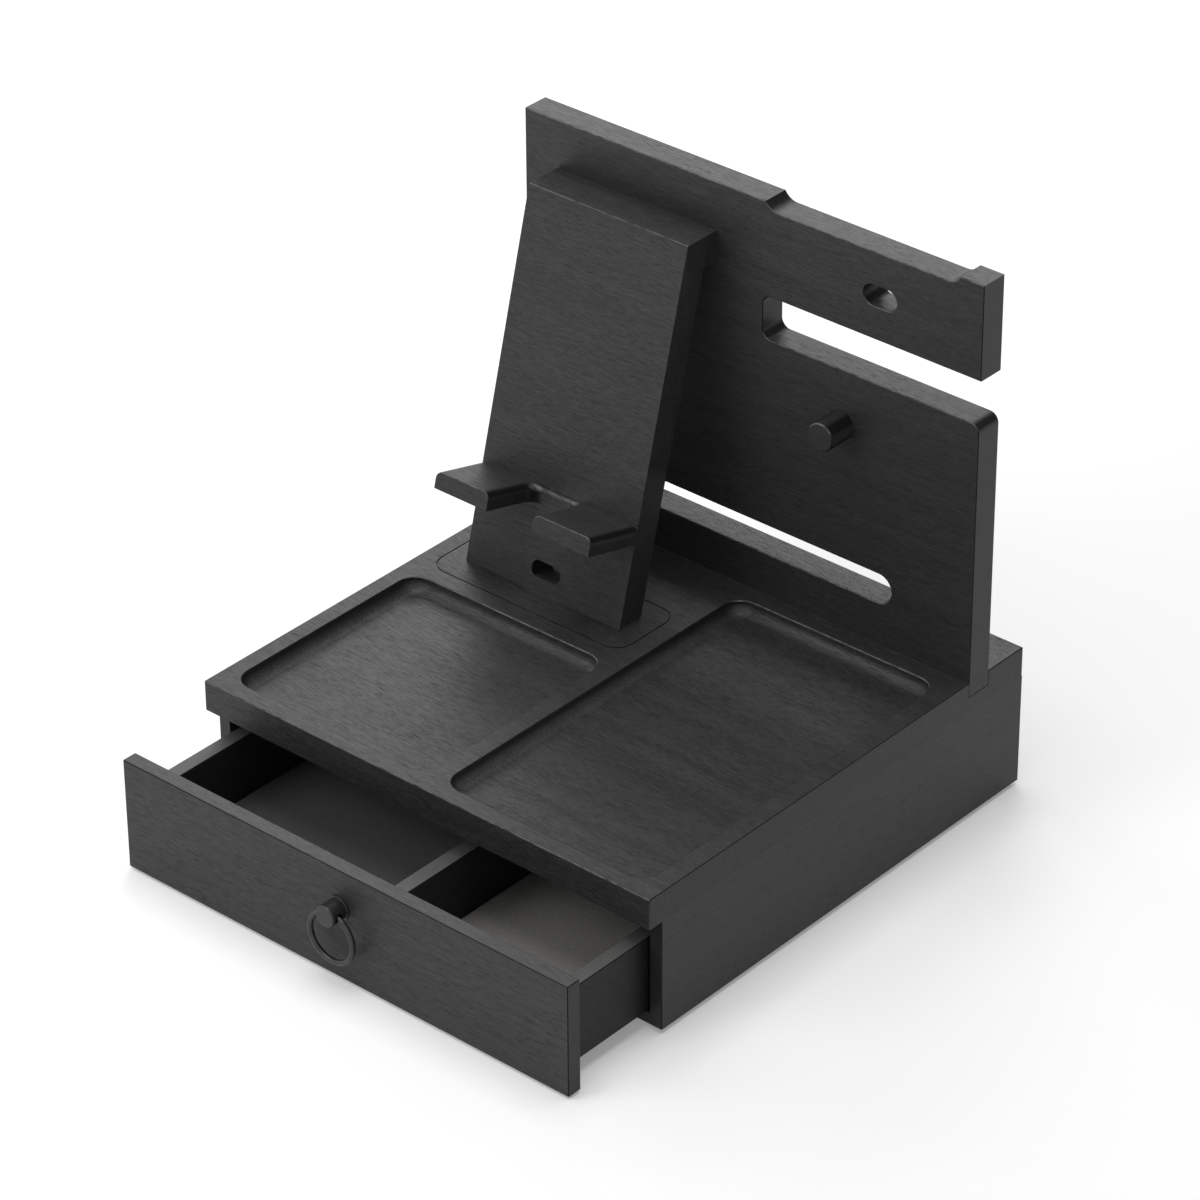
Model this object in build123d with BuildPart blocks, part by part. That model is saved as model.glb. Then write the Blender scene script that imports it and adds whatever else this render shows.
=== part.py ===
from build123d import *
import os
from math import cos, radians, sin, sqrt, tan

# Valet box with a sliding drawer, a leaning phone stand and a watch arm.
# Millimetres. +Z is up and the front faces -Y. The origin is the centre of the case's footprint,
# on the surface that the box stands on. The drawer is partly open and its ring hangs.

os.makedirs("parts", exist_ok=True)

# Case
case_width = 272.0
case_depth = 270.0
top_thickness = 16.0
front_overhang = 8.4
side_height = 58.8
side_thickness = 7.2
bottom_thickness = 6.0
rebate_depth = 3.2
back_thickness = 7.2
edge_ease = 0.6

# Feet
foot_diameter = 14.0
foot_height = 2.5
foot_inset = 22.0
foot_ease = 0.5

# Tray pockets, the fine line round the stand and the dado in the top board
left_rim = 9.5
right_rim = 10.5
front_rim = 9.4
pocket_web = 10.5
left_pocket_width = 121.5
pocket_depth = 7.0
pocket_corner_radius = 10.0
pocket_cove_radius = 5.5
pocket_rim_ease = 0.8
right_pocket_web = 10.4
line_web = 9.5
line_width = 0.7
line_depth = 0.7
line_front_margin = 15.3
line_back_margin = 13.0
dado_depth = 8.0
rear_strip = 26.6

# Backboard and watch arm, rises are heights over the top board
board_thickness = 15.0
board_rise = 209.3
head_width = 146.6
end_stop_width = 13.3
saddle_depth = 4.1
saddle_cutter_radius = 8.4
gap_rise = 138.0
gap_height = 22.6
gap_root = 145.8
gap_corner_radius = 5.0
arm_corner_radius = 2.5
slot_rise = 29.95
slot_length = 178.0
slot_height = 15.7
arm_hole_rise = 182.8
arm_hole_length = 19.0
arm_hole_height = 10.5
arm_hole_inset = 58.1

# Peg
peg_diameter = 14.5
peg_reach = 16.0
tenon_diameter = 10.0
tenon_length = 10.0
peg_rise = 109.3
peg_inset = 78.4
peg_chamfer = 0.6

# Phone stand
stand_inset = 20.7
stand_width = 97.5
stand_thickness = 15.0
stand_lean = 14.92
stand_rise = 184.6
spacer_height = 16.0
spacer_top_depth = 5.2
stand_hole_rise = 11.6
stand_hole_length = 18.2
stand_hole_height = 8.6

# Phone ledge
ledge_rise = 43.0
ledge_thickness = 9.0
ledge_reach = 33.8
ledge_edge_radius = 4.0
notch_width = 28.0
notch_offset = -1.0
notch_corner_radius = 7.0
tongue_depth = 5.0
tongue_inset = 12.0

# Drawer
drawer_open = 54.3
closed_gap = 0.3
front_top_gap = 0.6
front_floor_gap = 1.3
drawer_side_clearance = 1.3
drawer_floor_clearance = 0.3
drawer_rear_clearance = 4.8
drawer_side_thickness = 8.0
drawer_side_height = 40.0
drawer_panel_thickness = 4.0
groove_depth = 4.0
groove_rise = 2.7
divider_thickness = 8.5
divider_offset = 19.6
lining_thickness = 1.0
lining_clearance = 0.4

# Ring pull
pull_drop = 20.4
rosette_diameter = 12.5
rosette_thickness = 1.2
rosette_ease = 0.3
post_diameter = 11.0
post_length = 8.7
post_ease = 0.8
ring_hole_inset = 4.2
ring_radius = 13.0
ring_wire_diameter = 2.8
ring_play = 0.15
stud_diameter = 4.0
stud_tail = 1.2
washer_diameter = 9.0
washer_thickness = 0.8
nut_width = 7.0
nut_height = 3.2

# Screws and dowels
screw_diameter = 4.0
screw_length = 30.0
thin_screw_diameter = 3.0
bottom_screw_length = 20.0
ledge_screw_length = 25.0
countersink_angle = 90.0
dowel_diameter = 4.0
dowel_length = 20.0
front_dowel_length = 16.0
front_dowel_bite = 5.0
rear_dowel_bite = 5.0
hole_clearance = 0.05
side_dowel_inset = 13.0
back_fixing_pitch = 80.0
board_screw_pitch = 100.0
stand_screw_spacing = 60.0
corner_dowel_inset = 8.0

# Levels of the case
side_bottom_z = foot_height
case_floor_z = side_bottom_z + bottom_thickness
side_top_z = side_bottom_z + side_height
top_z = side_top_z + top_thickness
pocket_floor_z = top_z - pocket_depth
dado_floor_z = top_z - dado_depth

# Plan of the case
half_width = case_width / 2
top_front_y = -case_depth / 2
rear_y = case_depth / 2
case_front_y = top_front_y + front_overhang
case_mid_y = (case_front_y + rear_y) / 2
side_length = rear_y - case_front_y
side_mid_x = half_width - side_thickness / 2
inner_half_width = half_width - side_thickness
back_mid_y = rear_y - back_thickness / 2
back_front_y = rear_y - back_thickness

# Backboard
board_back_y = rear_y - rear_strip
board_front_y = board_back_y - board_thickness
board_mid_y = (board_front_y + board_back_y) / 2
board_top_z = top_z + board_rise
board_height = board_top_z - dado_floor_z
saddle_z = board_top_z - saddle_depth
saddle_run = sqrt(saddle_cutter_radius**2 - (saddle_cutter_radius - saddle_depth) ** 2)
saddle_left_x = -half_width + head_width + saddle_run
saddle_right_x = half_width - end_stop_width - saddle_run
gap_root_x = -half_width + gap_root
gap_bottom_z = top_z + gap_rise
gap_top_z = gap_bottom_z + gap_height
peg_x = half_width - peg_inset
peg_z = top_z + peg_rise

# Phone stand: its slant depth is measured level, front to back
lean_sine = sin(radians(stand_lean))
lean_cosine = cos(radians(stand_lean))
stand_mid_x = -half_width + stand_inset + stand_width / 2
stand_slant_depth = stand_thickness / lean_cosine
stand_top_z = top_z + stand_rise
stand_back_top_y = board_front_y - spacer_top_depth
stand_front_top_y = stand_back_top_y - stand_slant_depth
stand_foot_y = stand_front_top_y - (stand_top_z - top_z) * tan(radians(stand_lean))
stand_heel_y = stand_foot_y + stand_slant_depth
stand_face = Plane(
    origin=(stand_mid_x, stand_foot_y, top_z),
    x_dir=(1, 0, 0),
    z_dir=(0, -lean_cosine, lean_sine),
)
spacer_bottom_z = stand_top_z - spacer_height
spacer_bottom_depth = spacer_top_depth + spacer_height * tan(radians(stand_lean))

# Tray pockets and the stand's line in plan
pocket_front_y = top_front_y + front_rim
line_front_y = stand_foot_y - line_front_margin
line_back_y = stand_heel_y + line_back_margin
left_pocket_x = -half_width + left_rim
left_pocket_length = line_front_y - line_web - pocket_front_y
right_pocket_x = left_pocket_x + left_pocket_width + pocket_web
right_pocket_width = half_width - right_rim - right_pocket_x
right_pocket_length = board_front_y - right_pocket_web - pocket_front_y

# Drawer
drawer_front_thickness = front_overhang - closed_gap
drawer_front_y = top_front_y - drawer_open
drawer_box_y = drawer_front_y + drawer_front_thickness
drawer_box_length = back_front_y - drawer_rear_clearance - drawer_front_thickness - top_front_y
drawer_rear_y = drawer_box_y + drawer_box_length
drawer_half_width = inner_half_width - drawer_side_clearance
drawer_inner_half_width = drawer_half_width - drawer_side_thickness
drawer_bottom_z = case_floor_z + drawer_floor_clearance
drawer_side_top_z = drawer_bottom_z + drawer_side_height
drawer_back_y = drawer_rear_y - drawer_side_thickness
front_bottom_z = front_floor_gap
front_top_z = side_top_z - front_top_gap
groove_z = drawer_bottom_z + groove_rise
panel_top_z = groove_z + drawer_panel_thickness
drawer_inner_length = drawer_back_y - drawer_box_y

# Ring pull
pull_z = front_top_z - pull_drop
rosette_front_y = drawer_front_y - rosette_thickness
post_front_y = rosette_front_y - post_length
ring_y = post_front_y + ring_hole_inset
wire_radius = ring_wire_diameter / 2
post_radius = post_diameter / 2
ring_sag = ring_radius - sqrt(ring_radius**2 - post_radius**2)
exit_half_height = wire_radius * ring_radius / (ring_radius - ring_sag)
ring_hole_radius = (ring_sag + exit_half_height + wire_radius) / 2 + ring_play
swing_axis_z = pull_z - (ring_sag + exit_half_height - wire_radius) / 2

# Fixings
screw_hole_radius = screw_diameter / 2 + hole_clearance
thin_screw_hole_radius = thin_screw_diameter / 2 + hole_clearance
dowel_hole_radius = dowel_diameter / 2 + hole_clearance
dowel_hole_length = dowel_length + 2 * hole_clearance
screw_hole_length = screw_length + hole_clearance


def facing_down(x, y, z):
    return Plane(origin=(x, y, z), z_dir=(0, 0, -1))


def countersunk_screw(diameter, length):
    # The head's face lies at the origin and the shank runs down -Z to a point.
    shank = diameter / 2
    head_depth = shank / tan(radians(countersink_angle / 2))
    with BuildPart() as screw:
        with BuildSketch(Plane.XZ):
            with BuildLine():
                Polyline(
                    (0, 0),
                    (diameter, 0),
                    (shank, -head_depth),
                    (shank, diameter - length),
                    (0, -length),
                    close=True,
                )
            make_face()
        revolve(axis=Axis.Z)
    return screw.part


def rounded_dowel(length):
    with BuildPart() as dowel:
        Cylinder(dowel_diameter / 2, length)
        chamfer(dowel.edges(), edge_ease)
    return dowel.part


# Where the fixings sit, each plane faces out of the screw's head
board_screw_seats = [
    facing_down(x, board_mid_y, side_top_z)
    for x in (-board_screw_pitch, 0, board_screw_pitch)
]
foot_screw_reach = screw_length - top_thickness
foot_screw_y = (stand_foot_y + stand_heel_y + foot_screw_reach * tan(radians(stand_lean))) / 2
stand_screw_xs = [stand_mid_x - stand_screw_spacing / 2, stand_mid_x + stand_screw_spacing / 2]
foot_screw_seats = [facing_down(x, foot_screw_y, side_top_z) for x in stand_screw_xs]
head_screw_seats = [
    Plane(origin=(x, board_back_y, stand_top_z - spacer_height / 2), z_dir=(0, 1, 0))
    for x in stand_screw_xs
]
bottom_screw_seats = [
    facing_down(x, back_mid_y, side_bottom_z)
    for x in (-back_fixing_pitch, 0, back_fixing_pitch)
]
prong_xs = [
    (notch_offset - notch_width / 2 - stand_width / 2) / 2,
    (notch_offset + notch_width / 2 + stand_width / 2) / 2,
]
stand_back = stand_face.offset(-stand_thickness)
ledge_screw_seats = [
    Plane(
        origin=stand_back.from_local_coords((x, ledge_rise + ledge_thickness / 2, 0)),
        z_dir=-stand_back.z_dir,
    )
    for x in prong_xs
]
side_dowel_ys = [case_front_y + side_dowel_inset, case_mid_y, rear_y - side_dowel_inset]
case_dowel_spots = [(x, y, side_top_z) for x in (-side_mid_x, side_mid_x) for y in side_dowel_ys]
case_dowel_spots += [(x, back_mid_y, side_top_z) for x in (-back_fixing_pitch, back_fixing_pitch)]
corner_dowel_x = drawer_half_width - drawer_side_thickness / 2
corner_dowel_zs = [panel_top_z + corner_dowel_inset, drawer_side_top_z - corner_dowel_inset]
front_dowel_seats = [
    Plane(origin=(x, drawer_box_y, z), z_dir=(0, 1, 0))
    for x in (-corner_dowel_x, corner_dowel_x)
    for z in corner_dowel_zs
]
rear_dowel_seats = [
    Plane(
        origin=(side * drawer_inner_half_width, drawer_rear_y - drawer_side_thickness / 2, z),
        z_dir=(side, 0, 0),
    )
    for side in (-1, 1)
    for z in corner_dowel_zs
]

# Top board
with BuildPart() as top_board:
    with BuildSketch(Plane.XY.offset(side_top_z)):
        Rectangle(case_width, case_depth)
    extrude(amount=top_thickness)
    fillet(top_board.edges().filter_by(Axis.Z), edge_ease)
    fillet(top_board.faces().sort_by(Axis.Z)[-1].edges(), edge_ease)
    with BuildSketch(Plane.XY.offset(top_z)) as pockets:
        with Locations((left_pocket_x, pocket_front_y)):
            Rectangle(left_pocket_width, left_pocket_length, align=Align.MIN)
        with Locations((right_pocket_x, pocket_front_y)):
            Rectangle(right_pocket_width, right_pocket_length, align=Align.MIN)
        fillet(pockets.vertices(), pocket_corner_radius)
    extrude(amount=-pocket_depth, mode=Mode.SUBTRACT)
    pocket_floors = top_board.faces().filter_by_position(Axis.Z, pocket_floor_z, pocket_floor_z)
    fillet(pocket_floors.edges(), pocket_cove_radius)
    rims = top_board.faces().sort_by(Axis.Z)[-1].inner_wires()
    fillet([edge for rim in rims for edge in rim.edges()], pocket_rim_ease)
    with BuildSketch(Plane.XY.offset(top_z)) as line:
        with Locations((left_pocket_x, line_front_y)):
            Rectangle(left_pocket_width, line_back_y - line_front_y, align=Align.MIN)
        fillet(line.vertices(), pocket_corner_radius)
        offset(amount=-line_width, mode=Mode.SUBTRACT)
    extrude(amount=-line_depth, mode=Mode.SUBTRACT)
    with BuildSketch(Plane.XY.offset(top_z)):
        with Locations((0, board_mid_y)):
            Rectangle(case_width, board_thickness)
    extrude(amount=-dado_depth, mode=Mode.SUBTRACT)
    with Locations(*board_screw_seats, *foot_screw_seats):
        CounterSinkHole(
            screw_hole_radius, screw_diameter + hole_clearance, top_thickness, countersink_angle
        )
    with Locations(*case_dowel_spots):
        Hole(dowel_hole_radius, dowel_hole_length / 2)
top_board.part.label = "top_board"
export_step(top_board.part, "parts/top_board.step")

# Sides, with a rebate for the bottom panel
with BuildPart() as right_side:
    with BuildSketch(Plane.XY.offset(side_bottom_z)):
        with Locations((side_mid_x, case_mid_y)):
            Rectangle(side_thickness, side_length)
    extrude(amount=side_height)
    fillet(right_side.faces().sort_by(Axis.Y)[0].edges().group_by(Axis.Z)[1:-1], edge_ease)
    with BuildSketch(Plane.XY.offset(side_bottom_z)):
        with Locations((inner_half_width, case_mid_y)):
            Rectangle(rebate_depth, side_length, align=(Align.MIN, Align.CENTER))
    extrude(amount=bottom_thickness, mode=Mode.SUBTRACT)
    with Locations(*case_dowel_spots):
        Hole(dowel_hole_radius, dowel_hole_length / 2)
right_side.part.label = "right_side"
export_step(right_side.part, "parts/right_side.step")

with BuildPart() as left_side:
    add(right_side.part)
    mirror(about=Plane.YZ, mode=Mode.REPLACE)
left_side.part.label = "left_side"
export_step(left_side.part, "parts/left_side.step")

# Bottom panel
with BuildPart() as case_bottom:
    with BuildSketch(Plane.XY.offset(side_bottom_z)):
        with Locations((0, case_mid_y)):
            Rectangle(2 * (inner_half_width + rebate_depth), side_length)
    extrude(amount=bottom_thickness)
    with Locations(*bottom_screw_seats):
        CounterSinkHole(
            thin_screw_hole_radius,
            thin_screw_diameter + hole_clearance,
            bottom_thickness,
            countersink_angle,
        )
case_bottom.part.label = "case_bottom"
export_step(case_bottom.part, "parts/case_bottom.step")

# Back panel
with BuildPart() as case_back:
    with BuildSketch(Plane.XY.offset(case_floor_z)):
        with Locations((0, back_mid_y)):
            Rectangle(2 * inner_half_width, back_thickness)
    extrude(amount=side_top_z - case_floor_z)
    with Locations(*case_dowel_spots):
        Hole(dowel_hole_radius, dowel_hole_length / 2)
    with Locations(*bottom_screw_seats):
        Hole(thin_screw_hole_radius, bottom_screw_length + hole_clearance)
case_back.part.label = "case_back"
export_step(case_back.part, "parts/case_back.step")

# Feet
with BuildPart() as case_feet:
    with BuildSketch(Plane.XY):
        with Locations((0, case_mid_y)):
            with GridLocations(case_width - 2 * foot_inset, side_length - 2 * foot_inset, 2, 2):
                Circle(foot_diameter / 2)
    extrude(amount=foot_height)
    fillet(case_feet.edges().group_by(Axis.Z)[0], foot_ease)
case_feet.part.label = "case_feet"
export_step(case_feet.part, "parts/case_feet.step")

# Dowels of the case
with BuildPart() as case_dowels:
    with Locations(*case_dowel_spots):
        add(rounded_dowel(dowel_length))
case_dowels.part.label = "case_dowels"
export_step(case_dowels.part, "parts/case_dowels.step")

# Screws through the bottom into the back panel
with BuildPart() as bottom_screws:
    with Locations(*bottom_screw_seats):
        add(countersunk_screw(thin_screw_diameter, bottom_screw_length))
bottom_screws.part.label = "bottom_screws"
export_step(bottom_screws.part, "parts/bottom_screws.step")

# Backboard: a saddle between two steps, the gap under the arm, the long slot and the cable hole
with BuildPart() as backboard:
    with BuildSketch(Plane.XZ.offset(-board_back_y)) as board_face:
        with Locations((-half_width, dado_floor_z)):
            Rectangle(case_width, board_height, align=Align.MIN)
        with Locations((gap_root_x, gap_bottom_z)):
            Rectangle(half_width - gap_root_x, gap_height, align=Align.MIN, mode=Mode.SUBTRACT)
        gap_corners = board_face.vertices().group_by(Axis.Y)[1:3]
        arm_corner = gap_corners[1].sort_by(Axis.X)[-1]
        fillet(gap_corners[0] + gap_corners[1].sort_by(Axis.X)[:-1], gap_corner_radius)
        fillet(arm_corner, arm_corner_radius)
        with Locations(((saddle_left_x + saddle_right_x) / 2, saddle_z + saddle_cutter_radius)):
            SlotCenterToCenter(
                saddle_right_x - saddle_left_x, 2 * saddle_cutter_radius, mode=Mode.SUBTRACT
            )
        with Locations((0, top_z + slot_rise)):
            SlotOverall(slot_length, slot_height, mode=Mode.SUBTRACT)
        with Locations((half_width - arm_hole_inset, top_z + arm_hole_rise)):
            SlotOverall(arm_hole_length, arm_hole_height, mode=Mode.SUBTRACT)
    extrude(amount=board_thickness)
    board_faces = backboard.faces().sort_by(Axis.Y)
    fillet(board_faces[0].edges().sort_by(Axis.Z)[1:], edge_ease)
    board_faces = backboard.faces().sort_by(Axis.Y)
    fillet(board_faces[-1].edges().sort_by(Axis.Z)[1:], edge_ease)
    fillet(backboard.edges().filter_by(Axis.Y).group_by(Axis.Z)[0], edge_ease)
    with Locations(Plane(origin=(peg_x, board_front_y, peg_z), z_dir=(0, -1, 0))):
        Hole(tenon_diameter / 2 + hole_clearance, tenon_length)
    with Locations(*board_screw_seats):
        Hole(screw_hole_radius, screw_hole_length)
    with Locations(*head_screw_seats):
        CounterSinkHole(
            screw_hole_radius, screw_diameter + hole_clearance, board_thickness, countersink_angle
        )
backboard.part.label = "backboard"
export_step(backboard.part, "parts/backboard.step")

with BuildPart() as backboard_screws:
    with Locations(*board_screw_seats):
        add(countersunk_screw(screw_diameter, screw_length))
backboard_screws.part.label = "backboard_screws"
export_step(backboard_screws.part, "parts/backboard_screws.step")

# Peg, its shoulder on the backboard's face and its tenon in the seat
with BuildPart() as peg:
    with BuildSketch(Plane.XZ.offset(-board_front_y)):
        with Locations((peg_x, peg_z)):
            Circle(peg_diameter / 2)
    extrude(amount=peg_reach)
    chamfer(peg.edges().sort_by(Axis.Y)[0], peg_chamfer)
    with BuildSketch(Plane.XZ.offset(-board_front_y)):
        with Locations((peg_x, peg_z)):
            Circle(tenon_diameter / 2)
    extrude(amount=-tenon_length)
peg.part.label = "peg"
export_step(peg.part, "parts/peg.step")

# Leaning stand panel, with a level foot and head, a cable hole and the ledge's groove
with BuildPart() as stand_panel:
    with BuildSketch(Plane.YZ.offset(stand_mid_x - stand_width / 2)):
        with BuildLine():
            Polyline(
                (stand_foot_y, top_z),
                (stand_heel_y, top_z),
                (stand_back_top_y, stand_top_z),
                (stand_front_top_y, stand_top_z),
                close=True,
            )
        make_face()
    extrude(amount=stand_width)
    fillet(stand_panel.edges().filter_by(Axis.X).group_by(Axis.Z)[-1].sort_by(Axis.Y)[0], edge_ease)
    front_corners = stand_panel.faces().sort_by(Axis.Y)[0].edges().filter_by(Axis.X, reverse=True)
    fillet(front_corners, edge_ease)
    with BuildSketch(stand_face):
        with Locations((0, stand_hole_rise)):
            SlotOverall(stand_hole_length, stand_hole_height)
    extrude(amount=-stand_thickness, mode=Mode.SUBTRACT)
    with BuildSketch(stand_face):
        with Locations((0, ledge_rise + ledge_thickness / 2)):
            Rectangle(stand_width - 2 * tongue_inset, ledge_thickness)
    extrude(amount=-tongue_depth, mode=Mode.SUBTRACT)
    with Locations(*foot_screw_seats, *head_screw_seats):
        Hole(screw_hole_radius, screw_hole_length)
    with Locations(*ledge_screw_seats):
        CounterSinkHole(
            thin_screw_hole_radius,
            thin_screw_diameter + hole_clearance,
            stand_thickness,
            countersink_angle,
        )
stand_panel.part.label = "stand_panel"
export_step(stand_panel.part, "parts/stand_panel.step")

# Wedge between the panel's head and the backboard
with BuildPart() as stand_spacer:
    with BuildSketch(Plane.YZ.offset(stand_mid_x - stand_width / 2)):
        with BuildLine():
            Polyline(
                (board_front_y, spacer_bottom_z),
                (board_front_y, stand_top_z),
                (board_front_y - spacer_top_depth, stand_top_z),
                (board_front_y - spacer_bottom_depth, spacer_bottom_z),
                close=True,
            )
        make_face()
    extrude(amount=stand_width)
    with Locations(*head_screw_seats):
        Hole(screw_hole_radius, screw_hole_length)
stand_spacer.part.label = "stand_spacer"
export_step(stand_spacer.part, "parts/stand_spacer.step")

with BuildPart() as stand_foot_screws:
    with Locations(*foot_screw_seats):
        add(countersunk_screw(screw_diameter, screw_length))
stand_foot_screws.part.label = "stand_foot_screws"
export_step(stand_foot_screws.part, "parts/stand_foot_screws.step")

with BuildPart() as stand_head_screws:
    with Locations(*head_screw_seats):
        add(countersunk_screw(screw_diameter, screw_length))
stand_head_screws.part.label = "stand_head_screws"
export_step(stand_head_screws.part, "parts/stand_head_screws.step")

# Phone ledge: two prongs round a cable notch, joined by the tongue in the panel's groove
ledge_plane = Plane(
    origin=stand_face.from_local_coords((0, ledge_rise, 0)),
    x_dir=stand_face.x_dir,
    z_dir=stand_face.y_dir,
)
ledge_axis = Axis(origin=ledge_plane.origin, direction=ledge_plane.z_dir)
with BuildPart() as phone_ledge:
    with BuildSketch(ledge_plane) as ledge_outline:
        Rectangle(stand_width, ledge_reach, align=(Align.CENTER, Align.MAX))
        with Locations((notch_offset, -ledge_reach)):
            Rectangle(
                notch_width, ledge_reach, align=(Align.CENTER, Align.MIN), mode=Mode.SUBTRACT
            )
        Rectangle(stand_width - 2 * tongue_inset, tongue_depth, align=(Align.CENTER, Align.MIN))
        notch_root = ledge_outline.vertices().filter_by_position(Axis.Y, 0, 0)
        fillet(notch_root.sort_by(Axis.X)[2:4], notch_corner_radius)
    extrude(amount=ledge_thickness)
    ledge_top = phone_ledge.faces().sort_by(ledge_axis)[-1]
    notch_edges = ledge_top.edges().filter_by(GeomType.CIRCLE)
    side_edges = ledge_top.edges().filter_by(Axis.X, reverse=True).filter_by(GeomType.LINE)
    long_edges = [edge for edge in side_edges if edge.length > tongue_depth + edge_ease]
    fillet(notch_edges[:1] + long_edges, ledge_edge_radius)
    prong_ends = phone_ledge.faces().filter_by(stand_face).sort_by(Axis.Y)[:2]
    fillet([edge for end in prong_ends for edge in end.edges().sort_by(Axis.Z)[1:]], edge_ease)
    with Locations(*ledge_screw_seats):
        Hole(thin_screw_hole_radius, ledge_screw_length + hole_clearance)
phone_ledge.part.label = "phone_ledge"
export_step(phone_ledge.part, "parts/phone_ledge.step")

with BuildPart() as ledge_screws:
    with Locations(*ledge_screw_seats):
        add(countersunk_screw(thin_screw_diameter, ledge_screw_length))
ledge_screws.part.label = "ledge_screws"
export_step(ledge_screws.part, "parts/ledge_screws.step")

# Drawer front, with the groove for the bottom panel
with BuildPart() as drawer_front:
    with BuildSketch(Plane.XZ.offset(-drawer_box_y)):
        with Locations((0, front_bottom_z)):
            Rectangle(case_width, front_top_z - front_bottom_z, align=(Align.CENTER, Align.MIN))
    extrude(amount=drawer_front_thickness)
    fillet(drawer_front.edges(), edge_ease)
    with BuildSketch(Plane.XZ.offset(-drawer_box_y)):
        with Locations((0, groove_z)):
            Rectangle(
                2 * (drawer_inner_half_width + groove_depth),
                drawer_panel_thickness,
                align=(Align.CENTER, Align.MIN),
            )
    extrude(amount=groove_depth, mode=Mode.SUBTRACT)
    with Locations(Plane(origin=(0, drawer_front_y, pull_z), z_dir=(0, -1, 0))):
        Hole(stud_diameter / 2 + hole_clearance)
    with Locations(*front_dowel_seats):
        Hole(dowel_hole_radius, front_dowel_bite + hole_clearance)
drawer_front.part.label = "drawer_front"
export_step(drawer_front.part, "parts/drawer_front.step")

# Drawer sides, grooved for the bottom panel
with BuildPart() as drawer_right_side:
    with BuildSketch(Plane.YZ.offset(drawer_inner_half_width)):
        with Locations((drawer_box_y, drawer_bottom_z)):
            Rectangle(drawer_box_length, drawer_side_height, align=Align.MIN)
    extrude(amount=drawer_side_thickness)
    fillet(drawer_right_side.edges().filter_by(Axis.Y), edge_ease)
    with BuildSketch(Plane.YZ.offset(drawer_inner_half_width)):
        with Locations((drawer_box_y, groove_z)):
            Rectangle(
                drawer_box_length - drawer_side_thickness + groove_depth,
                drawer_panel_thickness,
                align=Align.MIN,
            )
    extrude(amount=groove_depth, mode=Mode.SUBTRACT)
    with Locations(*front_dowel_seats):
        Hole(dowel_hole_radius, front_dowel_length - front_dowel_bite + hole_clearance)
    with Locations(*rear_dowel_seats):
        Hole(dowel_hole_radius, rear_dowel_bite + hole_clearance)
drawer_right_side.part.label = "drawer_right_side"
export_step(drawer_right_side.part, "parts/drawer_right_side.step")

with BuildPart() as drawer_left_side:
    add(drawer_right_side.part)
    mirror(about=Plane.YZ, mode=Mode.REPLACE)
drawer_left_side.part.label = "drawer_left_side"
export_step(drawer_left_side.part, "parts/drawer_left_side.step")

# Drawer back, between the sides
with BuildPart() as drawer_back:
    with BuildSketch(Plane.XZ.offset(-drawer_rear_y)):
        with Locations((0, drawer_bottom_z)):
            Rectangle(
                2 * drawer_inner_half_width, drawer_side_height, align=(Align.CENTER, Align.MIN)
            )
    extrude(amount=drawer_side_thickness)
    fillet(drawer_back.edges().filter_by(Axis.X), edge_ease)
    with BuildSketch(Plane.XZ.offset(-drawer_back_y)):
        with Locations((0, groove_z)):
            Rectangle(
                2 * drawer_inner_half_width,
                drawer_panel_thickness,
                align=(Align.CENTER, Align.MIN),
            )
    extrude(amount=-groove_depth, mode=Mode.SUBTRACT)
    with Locations(*rear_dowel_seats):
        Hole(dowel_hole_radius, dowel_length - rear_dowel_bite + hole_clearance)
drawer_back.part.label = "drawer_back"
export_step(drawer_back.part, "parts/drawer_back.step")

# Drawer bottom, held in the grooves
with BuildPart() as drawer_bottom:
    with BuildSketch(Plane.XY.offset(groove_z)):
        with Locations((0, drawer_box_y - groove_depth)):
            Rectangle(
                2 * (drawer_inner_half_width + groove_depth),
                drawer_inner_length + 2 * groove_depth,
                align=(Align.CENTER, Align.MIN),
            )
    extrude(amount=drawer_panel_thickness)
drawer_bottom.part.label = "drawer_bottom"
export_step(drawer_bottom.part, "parts/drawer_bottom.step")

# Divider from front to back
with BuildPart() as drawer_divider:
    with BuildSketch(Plane.XY.offset(panel_top_z)):
        with Locations((divider_offset, drawer_box_y)):
            Rectangle(divider_thickness, drawer_inner_length, align=(Align.CENTER, Align.MIN))
    extrude(amount=drawer_side_top_z - panel_top_z)
    fillet(drawer_divider.edges().filter_by(Axis.Y).group_by(Axis.Z)[-1], edge_ease)
drawer_divider.part.label = "drawer_divider"
export_step(drawer_divider.part, "parts/drawer_divider.step")

# Felt linings of the two compartments
divider_left_x = divider_offset - divider_thickness / 2
divider_right_x = divider_offset + divider_thickness / 2
for name, left_x, right_x in (
    ("left_lining", -drawer_inner_half_width, divider_left_x),
    ("right_lining", divider_right_x, drawer_inner_half_width),
):
    with BuildPart() as lining:
        with BuildSketch(Plane.XY.offset(panel_top_z)):
            with Locations((left_x + lining_clearance, drawer_box_y + lining_clearance)):
                Rectangle(
                    right_x - left_x - 2 * lining_clearance,
                    drawer_inner_length - 2 * lining_clearance,
                    align=Align.MIN,
                )
        extrude(amount=lining_thickness)
    lining.part.label = name
    export_step(lining.part, f"parts/{name}.step")

# Dowels of the drawer's corners
with BuildPart() as drawer_front_dowels:
    with Locations(*front_dowel_seats):
        with Locations((0, 0, front_dowel_length / 2 - front_dowel_bite)):
            add(rounded_dowel(front_dowel_length))
drawer_front_dowels.part.label = "drawer_front_dowels"
export_step(drawer_front_dowels.part, "parts/drawer_front_dowels.step")

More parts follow.
